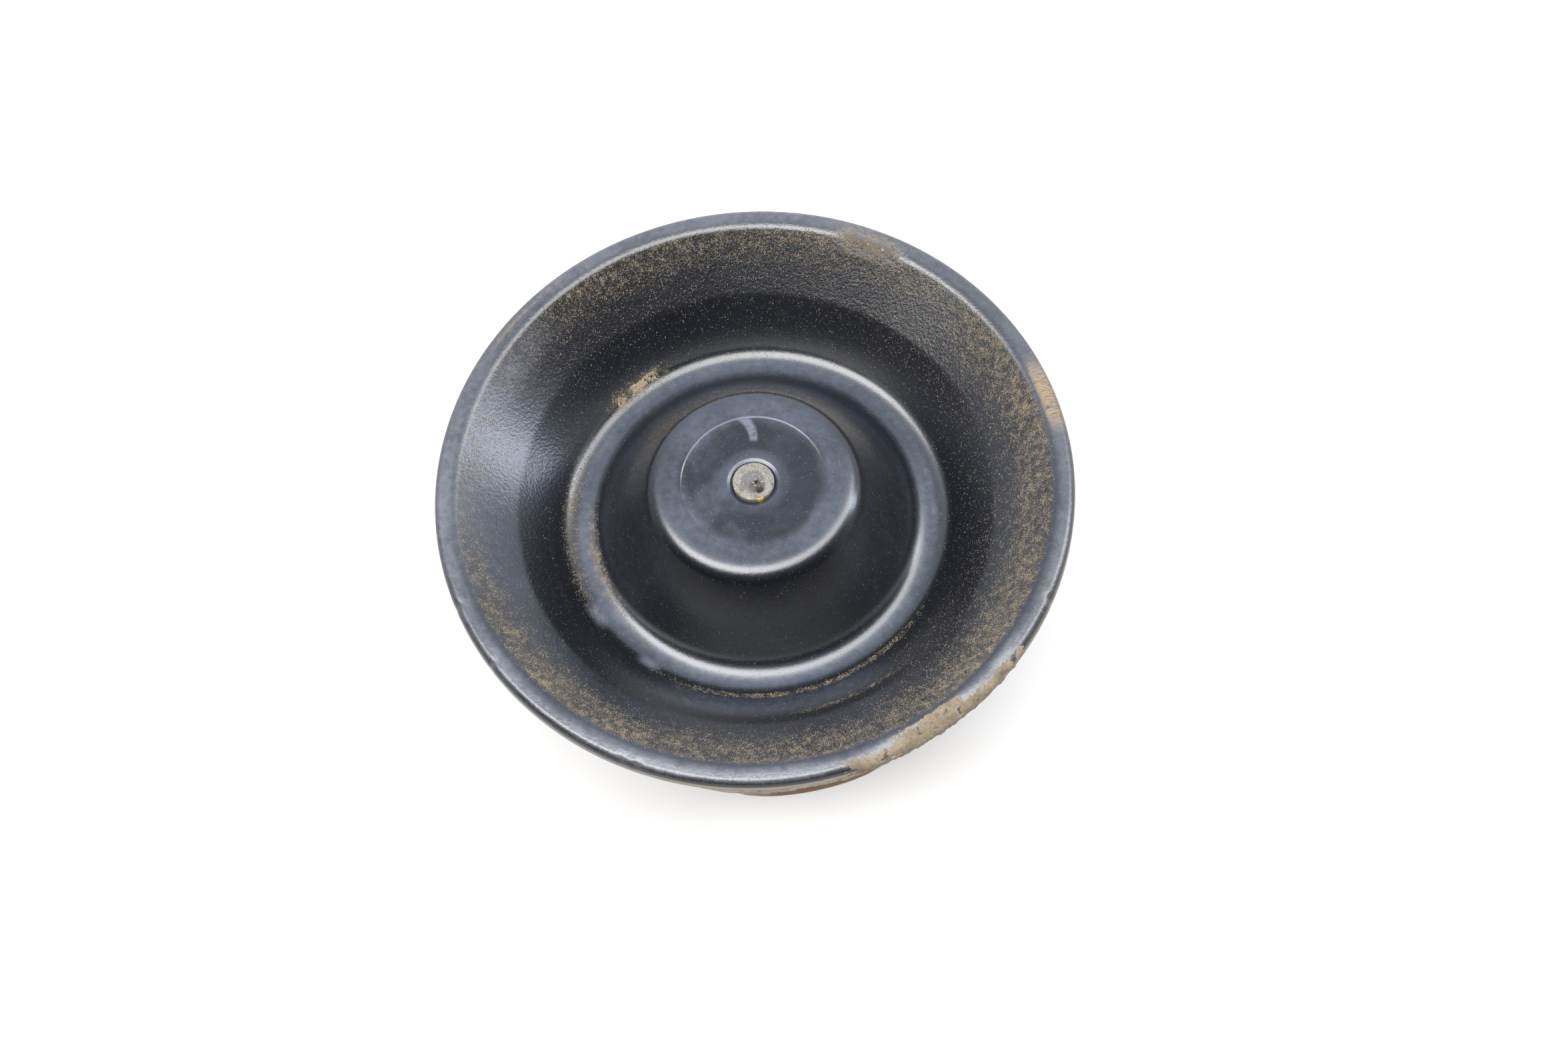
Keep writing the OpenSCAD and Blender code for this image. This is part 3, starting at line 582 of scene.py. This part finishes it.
def make_disc():
    corners = disc_corners()
    dimple, coined_circle = [(3.08, -0.2), (3.8, 0.16), (5.2, 0.3)], [(10.35, 0.3), (10.5, 0.4)]
    centre = [(r * MM, RIM_Z + z * MM) for r, z in dimple + coined_circle]
    top = folded(centre + corners[1:], [0.35 * MM, 2.5 * MM, 0.1 * MM, 0.1 * MM] + DISC_BENDS, 0)
    under = folded(corners, DISC_BENDS, -DISC_T)
    outline = np.concatenate([top, under[::-1]])
    disc = turned("pressed_disc", outline, disc_paint(), 720, disc_shift)
    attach(disc, "armature")
    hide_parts("tone_disc")


def stud_metal():
    """The peened end of the stud: grimy grey metal, beige at its rim and brown round the punch marks, with
    painted near-black shade in the two deepest marks and a painted yellow glint low on its edge.
    """
    s = Shader("stud_metal")
    radius, angle, x, y, _ = s.polar()
    fine = s.noise(s.place, 2400.0, 5.0, 0.65)
    broad = s.noise(s.place, 700.0, 3.0)
    smear = s.total(s.times(fine, 0.5), s.times(broad, 0.5))
    rim = s.step(s.total(s.times(radius, 1000.0), s.times(broad, 1.2)), 2.0, 2.6)
    colour = s.mix(rim, (0.066, 0.062, 0.064), (0.115, 0.108, 0.09))
    spot = s.total(s.apart(x, y, 0.4, -0.9), s.times(fine, 1.2))
    colour = s.mix(s.step(spot, 1.3, 2.0, 0.8, 0.0), colour, (0.03, 0.02, 0.012))
    colour = s.mix(s.step(smear, 0.49, 0.55, 0.0, 0.7), colour, (0.055, 0.046, 0.035))
    colour = s.mix(s.step(fine, 0.57, 0.64), colour, (0.2, 0.19, 0.165))
    pits = s.step(s.noise(s.place, 2100.0, 4.0, 0.7), 0.36, 0.46, 1.0, 0.0)
    colour = s.mix(s.times(pits, 0.65), colour, (0.032, 0.026, 0.018))
    # painted shade: the two deepest punch marks are painted near-black in their pits
    for right, back, size in ((0.78, -1.34, 0.42), (0.4, 0.0, 0.3)):  # the deepest punch marks, in mm
        far = s.total(s.apart(x, y, right, back, 0.6, 1.6), s.times(fine, 0.3))
        colour = s.mix(s.step(far, size - 0.05, size + 0.15, 0.9, 0.0), colour, (0.01, 0.008, 0.006))
    # painted highlight: a yellow glint low on the stud's edge
    painted_glint = s.times(s.step(radius, 0.00285, 0.0029), s.band(angle, 68.0, 84.0, 3.0))
    colour = s.mix(painted_glint, colour, (0.42, 0.25, 0.03))
    return s.surface(
        Base_Color=colour,
        Metallic=0.0,
        Specular_IOR_Level=0.25,
        Roughness=s.step(fine, 0.3, 0.7, 0.5, 0.75),
        Normal=s.bump(smear, 0.00018),
    )


PUNCH_MARKS = (  # angle, distance from the axis, width and depth, in mm
    (60, 1.55, 0.45, 0.9),
    (20, 0.4, 0.3, 0.6),
    (200, 1.1, 1.0, 0.07),
    (320, 1.9, 0.7, 0.06),
)
STUD_R = 3.0 * MM


def punched(spot):
    """The stud's end at this place: a little uneven, and sunk where the punch has struck it."""
    depth = 0.06 * abs(noise.noise(spot * 900))
    for angle, reach, wide, deep in PUNCH_MARKS:
        far = (spot.xy - polar_point(reach * MM, angle, 0).xy).length
        depth += deep * math.exp(-((far / (wide * MM)) ** 2))
    return Vector((spot.x, spot.y, spot.z - depth * MM))


def make_stud():
    """The stud's peened end: flat rings out to a worn edge, and a straight shank below."""
    low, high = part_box("armature_stud")
    face = high[2] - 0.04 * MM
    flat = [(0.15 * k * MM, 0) for k in range(1, 19)]
    edge = [(2.82 * MM, 0.02), (2.92 * MM, 0.05), (2.98 * MM, 0.1), (STUD_R, 0.16)]
    segments = 96
    angles = [360 * k / segments for k in range(segments)]
    vertices = [Vector((0, AXIS_Y, high[2] - 0.1 * MM))]
    for r, drop in flat + edge:
        vertices += [punched(polar_point(r, a, face - drop * MM)) for a in angles]
    vertices += [polar_point(STUD_R, a, low[2]) for a in angles]
    faces = [(0, 1 + (k + 1) % segments, 1 + k) for k in range(segments)]
    rings = len(flat + edge)
    for ring in range(rings):
        here = 1 + ring * segments
        for k in range(segments):
            n = (k + 1) % segments
            faces.append((here + k, here + n, here + segments + n, here + segments + k))
    faces.append(tuple(1 + rings * segments + k for k in range(segments)))
    stud = make_object("peened_stud", vertices, faces, stud_metal())
    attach(stud, "armature")
    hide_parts("armature_stud")


def mud():
    """Dried road mud: tan, with darker damp spots and a cracked, gritty face."""
    s = Shader("mud")
    fine = s.noise(s.place, 2600.0, 5.0, 0.7)
    broad = s.noise(s.place, 350.0, 3.0)
    colour = s.mix(s.step(broad, 0.35, 0.65), (0.095, 0.073, 0.045), (0.14, 0.111, 0.073))
    colour = s.mix(s.step(fine, 0.52, 0.66), colour, (0.075, 0.052, 0.03))
    colour = s.mix(s.step(s.noise(s.place, 520.0, 2.0), 0.62, 0.72), colour, (0.04, 0.034, 0.028))
    return s.surface(
        Base_Color=colour,
        Roughness=s.step(fine, 0.2, 0.8, 0.8, 0.98),
        Normal=s.bump(s.total(fine, broad), 0.00014),
    )


# name, first and last angle, distances along the disc's face from r 40 mm, thickness, missing share
MUD_SPOTS = (
    ("mud_edge", 38, 82, 5.2, 9.2, 0.17, 0.5),
    ("mud_rim", 54, 72, 3.9, 7.0, 0.14, 0.55),
    ("mud_ring", 226, 245, -15.8, -13.9, 0.16, 0.97),
)
MUD_ACROSS = 26  # steps over the width of a crust


class DiscFace:
    """The disc's upper face, with places on it as a distance along its profile and an angle."""

    def __init__(self):
        self.path = folded(disc_corners(), DISC_BENDS, 0)
        self.along = np.concatenate([[0], np.cumsum(np.hypot(*np.diff(self.path, axis=0).T))])
        self.start = np.interp(40 * MM, self.path[:, 0], self.along)

    def at(self, distance):
        return [np.interp(distance, self.along, self.path[:, k]) for k in (0, 1)]

    def profile(self, distance):
        """The profile's point (r, z) and slope, at a distance in metres from r 40 mm."""
        distance = min(self.start + distance, self.along[-1] - 0.1 * MM)
        ahead, behind = self.at(distance + 0.2 * MM), self.at(distance - 0.2 * MM)
        return *self.at(distance), math.atan2(ahead[1] - behind[1], ahead[0] - behind[0])


def lifted(r, z, slope, angle, offset):
    """The point at an offset from the disc's face, with the disc's own dent and nicks."""
    r, z = disc_shift(r - offset * math.sin(slope), angle, z + offset * math.cos(slope))
    return polar_point(float(r), angle, float(z))


def crust_faces(across, around):
    """Two skins of a grid, one above the other, joined along their border."""
    count = across + 1
    total = count * (around + 1)
    faces = []
    for i in range(around):
        for j in range(across):
            a, d = i * count + j, (i + 1) * count + j
            faces.append((d, d + 1, a + 1, a))
            faces.append((total + a, total + a + 1, total + d + 1, total + d))
    border = list(range(count))
    border += [i * count + across for i in range(1, around + 1)]
    border += [around * count + j for j in range(across - 1, -1, -1)]
    border += [i * count for i in range(around - 1, 0, -1)]
    for a, b in zip(border, border[1:] + border[:1]):
        faces.append((a, b, total + b, total + a))
    return faces


def make_crust(face, look, name, first, last, near, far, thick, missing):
    """One crust, thickest in its middle. Where its skin dips into the paint, the crust is broken away."""
    around = int((last - first) * 5)
    outer, inner = [], []
    for i in range(around + 1):
        u = i / around
        angle = first + (last - first) * u
        waver = noise.noise(Vector((angle * 0.35, 3.7, near)))
        ragged = noise.noise(Vector((angle * 1.9, 0.3, near)))
        begin, end = near + 0.45 * waver + 0.3 * ragged, far + 0.3 * waver + 0.15 * ragged
        for j in range(MUD_ACROSS + 1):
            v = j / MUD_ACROSS
            r, z, slope = face.profile((begin + (end - begin) * v) * MM)
            rise = min(1, 8 * min(u, 1 - u)) * min(1, 6 * min(v, 1 - v))
            lump = noise.noise(Vector((r * 700, angle * 0.5, z * 700)))
            grit = noise.noise(Vector((r * 2600, angle * 2.2, z * 2600)))
            lift = thick * MM * (rise * (1 + 0.9 * lump + 0.7 * grit) - missing)
            outer.append(lifted(r, z, slope, angle, lift))
            inner.append(lifted(r, z, slope, angle, -0.3 * MM))
    crust = make_object(name, outer + inner, crust_faces(MUD_ACROSS, around), look)
    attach(crust, "armature")


def make_mud():
    """Crusts that follow the disc's upper face, thin out at their edges and end in a ragged line."""
    face, look = DiscFace(), mud()
    for spot in MUD_SPOTS:
        make_crust(face, look, *spot)


def make_diaphragm():
    """The corrugated spring disc. In the horn its middle moves with the armature and its edge stays
    clamped; this piece is baked in place and not attached to either.
    """
    low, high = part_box("diaphragm")
    edge, base, crown = (high[0] - low[0]) / 2, low[2] + 0.4 * MM, high[2]
    corners = [(3.05 * MM, crown), (13 * MM, crown), (29 * MM, base), (edge, base)]
    top, under = (folded(corners, [6 * MM, 6 * MM], offset) for offset in (0, -0.4 * MM))
    for path in (top, under):
        reach = np.clip((path[:, 0] / MM - 15) / 12, 0, 1)
        path[:, 1] -= 0.12 * MM * np.sin(reach * math.pi) * (1 - np.cos(reach * 8 * math.pi))
    spring = turned("spring_diaphragm", np.concatenate([top, under[::-1]]), dark_spring_steel(), 240)
    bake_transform(spring)
    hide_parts("diaphragm")


def make_ring():
    """The ring that clamps the diaphragm, pressed in 36 places. Rust has swollen it on the near side."""
    low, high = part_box("clamp_ring")
    outer, top, bottom = (high[0] - low[0]) / 2, high[2], low[2]
    corners = [(33.6 * MM, top), (outer, top), (outer, bottom), (outer - 3.4 * MM, bottom)]
    bends, skins = [1.2 * MM, 1.2 * MM], (0, -0.8 * MM)
    outside, inside = (folded(corners, bends, offset, 0.25 * MM) for offset in skins)

    def crimp(radius, angle, z):
        mark = max(0, math.cos(math.radians(36 * angle))) ** 3
        below = np.clip((top - 1.6 * MM - z) / (1.2 * MM), 0, 1)
        below = below * np.clip((radius - outer + 2 * MM) / MM, 0, 1)
        swollen = math.exp(-(((angle - 84) / 17) ** 4))
        return radius + MM * below * (0.6 * swollen - 0.3 * mark * (1 - swollen)), z

    ring = turned("crimped_ring", np.concatenate([outside, inside[::-1]]), ring_metal(), 720, crimp)
    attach(ring, "horn")
    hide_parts("clamp_ring")


def make_nut(look):
    """The bracket's hexagon nut, chamfered on both faces."""
    low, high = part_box("bracket_nut")
    heights = np.linspace(low[2], high[2], 25)
    wall = [(7.6 * MM, z) for z in heights]
    outline = np.array([(4.05 * MM, high[2]), *wall[::-1], (4.05 * MM, low[2])][::-1])

    def hexagon(radius, angle, z):
        flat = 6.5 * MM / math.cos(math.radians((angle + 30) % 60 - 30))
        chamfer = 6.75 * MM + 1.7 * np.minimum(z - low[2], high[2] - z)
        return np.where(radius > 5 * MM, np.minimum(flat, chamfer), radius), z

    nut = turned("hex_nut", outline, look, 180, hexagon)
    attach(nut, "horn")
    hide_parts("bracket_nut")


def make_bracket_stud(look):
    """An M8 stud with its thread cut along the whole length."""
    low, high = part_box("bracket_stud")
    pitch, depth = 1.25 * MM, 0.6 * MM
    heights = np.arange(low[2] + 0.8 * MM, high[2], 0.1 * MM)
    wall = [(4 * MM, z) for z in heights]
    bore = 0.01 * MM
    outline = np.array([(bore, low[2]), (3.2 * MM, low[2]), *wall, (4 * MM, high[2]), (bore, high[2])])

    def thread(radius, angle, z):
        ramp = np.abs((z / pitch + angle / 360) % 1 * 2 - 1)
        return np.where(radius > 3.5 * MM, radius - depth * np.clip(1.25 * ramp - 0.12, 0, 1), radius), z

    stud = turned("threaded_stud", outline, look, 120, thread)
    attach(stud, "horn")
    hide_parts("bracket_stud")


def dress_cad():
    """Gives every CAD piece that is still shown the finish of its material slot."""
    made = {name: weathered(name + "_look", *look) for name, look in SLOT_LOOKS.items()}
    made["enamelled_copper"] = wound_copper()
    for node in NODES.values():
        for slot in node.material_slots:
            slot.material = made[slot.material.name.split(".")[0]]
    return made


# ---------------------------------------------------------------- studio


def make_floor():
    s = Shader("paper")
    fine = s.noise(s.place, 60.0, 3.0)
    paper = s.surface(
        Base_Color=s.mix(fine, (0.412, 0.398, 0.374), (0.432, 0.418, 0.394)),
        Roughness=0.7,
        Specular_IOR_Level=0.2,
    )
    corners = [(x, y, 0) for x, y in ((-3, -3), (3, -3), (3, 3), (-3, 3))]
    floor = make_object("floor", corners, [(0, 1, 2, 3)], paper)


def make_world():
    """A white studio: a crescent of soft light overhead, bright beyond the horn, dark behind the camera."""
    world = bpy.data.worlds.new("studio")
    bpy.context.scene.world = world
    world.use_nodes = True
    s = Shader(None, world.node_tree)
    way = s.add("ShaderNodeTexCoord").outputs["Generated"]
    x, y, z = s.add("ShaderNodeSeparateXYZ", {0: way}).outputs
    # across and away are in degrees from straight up: to the right, and away from the camera
    zenith = s.math("DEGREES", s.math("ARCCOSINE", z))
    level_part = s.math("SQRT", s.most(s.math("SUBTRACT", 1.0, s.times(z, z)), 0.000001))
    across, away = (s.math("DIVIDE", s.times(zenith, part), level_part) for part in (x, y))
    bow = s.total(across, 5.0)
    middle = s.math("SUBTRACT", s.times(bow, bow, 0.0106), 17.0)
    offset = s.math("SUBTRACT", away, middle)
    crescent = s.times(
        s.step(offset, -16.0, -9.0),
        s.total(s.step(offset, 7.0, 18.0, 0.78, 0.0), s.step(offset, 8.0, 46.0, 0.22, 0.0)),
        s.step(across, -52.0, -40.0),
        s.step(across, 42.0, 62.0, 1.0, 0.0),
        s.step(across, -20.0, 40.0, 1.0, 0.6),
    )
    beyond = s.times(s.step(away, -20.0, 35.0), s.step(zenith, 20.0, 45.0, 0.55, 1.0))
    beyond = s.times(beyond, s.step(s.math("ABSOLUTE", across), 30.0, 70.0, 1.0, 0.5))
    strip_end = s.step(across, 70.0, 76.0, 1.0, 0.0)
    strip = s.times(s.band(away, 6.0, 15.0, 2.5), s.step(across, 44.0, 52.0), strip_end)
    right_wall = s.times(s.step(across, 45.0, 75.0), s.step(away, -60.0, -10.0))
    lamps = s.total(s.times(crescent, 19.0), s.times(strip, 19.0))
    level = s.total(lamps, s.times(beyond, 1.9), s.times(right_wall, 0.7), 0.12)
    tint = s.mix(s.step(crescent, 0.0, 0.3), (0.82, 0.92, 1.12), (0.975, 0.98, 1.0))
    tint = s.mix(s.step(zenith, 70.0, 86.0), tint, (1.0, 1.0, 1.0))
    shade = s.add("ShaderNodeBackground", {"Strength": level, "Color": tint})
    out = s.add("ShaderNodeOutputWorld")
    s.tree.links.new(shade.outputs[0], out.inputs[0])


def make_studio():
    scene = bpy.context.scene
    scene.view_settings.view_transform = "Standard"
    make_world()
    make_floor()


make_camera()
make_studio()
looks = dress_cad()
make_disc()
make_stud()
make_mud()
make_diaphragm()
make_ring()
make_nut(looks["zinc_steel"])
make_bracket_stud(looks["zinc_steel"])
